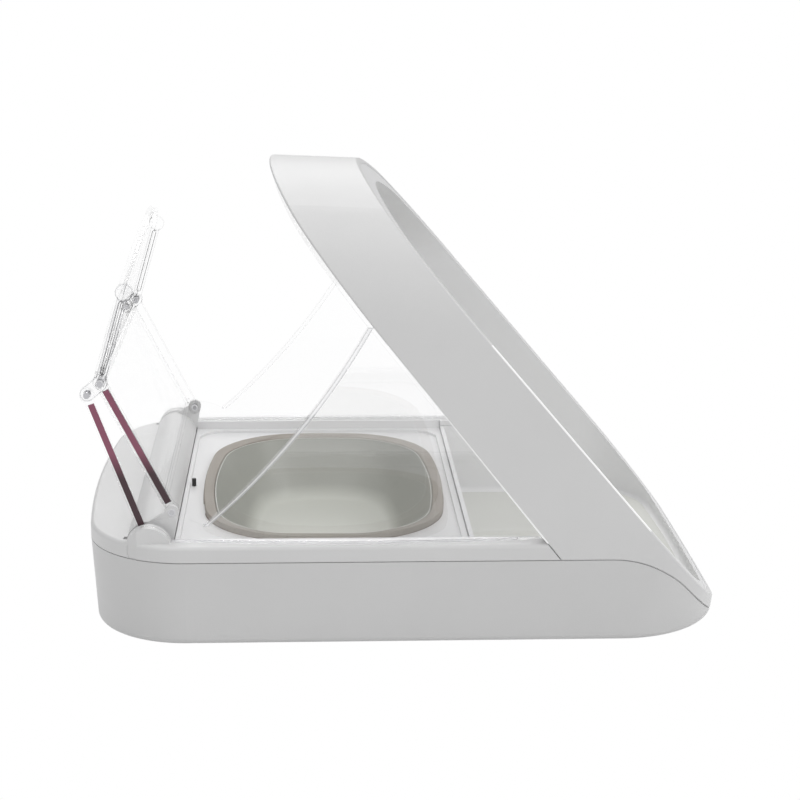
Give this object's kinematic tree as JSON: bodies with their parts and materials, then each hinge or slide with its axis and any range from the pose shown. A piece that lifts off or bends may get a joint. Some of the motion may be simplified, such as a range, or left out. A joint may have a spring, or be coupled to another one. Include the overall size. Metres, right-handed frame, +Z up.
{
  "type": "microchip pet feeder",
  "caption": "Free-standing pet feeder: a hood that reads the pet's tag, a bowl, a mat and a motor-driven clear lid that folds back.",
  "frame": {"origin": "on the surface it stands on, under the middle of the body", "axes": "+Z up, the pet eats from -Y under the hood, the lid folds back towards +Y, X across"},
  "size_m": [0.23, 0.313, 0.2159],
  "materials": {
    "white_plastic": "satin",
    "liner_white": "satin",
    "clear_plastic": "clear",
    "maroon_plastic": "satin",
    "bowl_sage": "satin",
    "bowl_taupe": "matte",
    "mat_sage": "matte",
    "dark_plastic": "matte",
    "gear_plastic": "natural",
    "steel": "satin",
    "copper": "enamelled wire",
    "board_green": "matte",
    "cell_wrap": "satin",
    "foot_rubber": "matte",
    "light_lens": "frosted"
  },
  "bodies": {
    "body": {"base_lower_shell": "white_plastic", "base_upper_shell": "white_plastic", "hood_outer": "white_plastic", "hood_liner": "liner_white", "antenna_coil": "copper", "bowl_tray": "liner_white", "bowl": "bowl_sage", "bowl_rim": "bowl_taupe", "mat": "mat_sage", "rear_cover": "clear_plastic", "lid_hinge_pins": "steel", "drive_motor": "steel", "main_circuit_board": "board_green", "status_light": "light_lens", "lid_sensor_peg": "dark_plastic", "battery_cells": "cell_wrap", "battery_contacts": "steel", "rubber_feet": "foot_rubber", "case_screws": "steel"},
    "rear_panel": {"lid_rear_panel": "clear_plastic", "lid_arm_strip": "maroon_plastic", "lid_fold_pins": "steel"},
    "front_panel": {"lid_front_panel": "clear_plastic", "lid_link_pins": "steel"},
    "link": {"lid_link_left": "clear_plastic", "lid_link_right": "clear_plastic", "lid_link_strip": "maroon_plastic"},
    "shaft": {"drive_shaft": "steel", "drive_gear": "gear_plastic"},
    "pinion": {"motor_pinion": "gear_plastic"},
    "button_a": {"button_1": "white_plastic"},
    "button_b": {"button_2": "white_plastic"},
    "button_c": {"button_3": "white_plastic"},
    "door_left": {"battery_door_left": "white_plastic"},
    "door_right": {"battery_door_right": "white_plastic"}
  },
  "joints": [
    {"name": "lid_swing", "type": "hinge", "parent": "body", "child": "rear_panel", "pos_m": [0, 0.1114, 0.0616], "axis": [1, 0, 0], "range_deg": [0, 123.5]},
    {"name": "lid_fold", "type": "hinge", "parent": "rear_panel", "child": "front_panel", "pos_m": [0, 0.14316, 0.1242], "axis": [1, 0, 0], "range_deg": [-45.71, 0]},
    {"name": "link_swing", "type": "hinge", "parent": "front_panel", "child": "link", "pos_m": [0, 0.14887, 0.1195], "axis": [1, 0, 0], "range_deg": [0, 23.71]},
    {"name": "shaft_turn", "type": "hinge", "parent": "body", "child": "shaft", "pos_m": [0, 0.122, 0.0465], "axis": [1, 0, 0], "range_deg": [0, 101.41]},
    {"name": "pinion_turn", "type": "hinge", "parent": "body", "child": "pinion", "pos_m": [0, 0.13343, 0.0399], "axis": [1, 0, 0], "range_deg": [-152.11, 0]},
    {"name": "button_1_press", "type": "slide", "parent": "body", "child": "button_a", "axis": [0, -1, 0], "range_m": [0, 0.001], "stiffness_N_per_m": 400},
    {"name": "button_2_press", "type": "slide", "parent": "body", "child": "button_b", "axis": [0, -1, 0], "range_m": [0, 0.001], "stiffness_N_per_m": 400},
    {"name": "button_3_press", "type": "slide", "parent": "body", "child": "button_c", "axis": [0, -1, 0], "range_m": [0, 0.001], "stiffness_N_per_m": 400},
    {"name": "door_left_slide", "type": "slide", "parent": "body", "child": "door_left", "axis": [0, -1, 0], "range_m": [0, 0.009]},
    {"name": "door_right_slide", "type": "slide", "parent": "body", "child": "door_right", "axis": [0, -1, 0], "range_m": [0, 0.009]}
  ],
  "couplings": [
    {"joint": "lid_fold", "follows": "lid_swing", "ratio": -0.37004},
    {"joint": "link_swing", "follows": "lid_swing", "ratio": 0.1919},
    {"joint": "shaft_turn", "follows": "lid_swing", "ratio": 0.82105},
    {"joint": "pinion_turn", "follows": "lid_swing", "ratio": -1.2316}
  ]
}
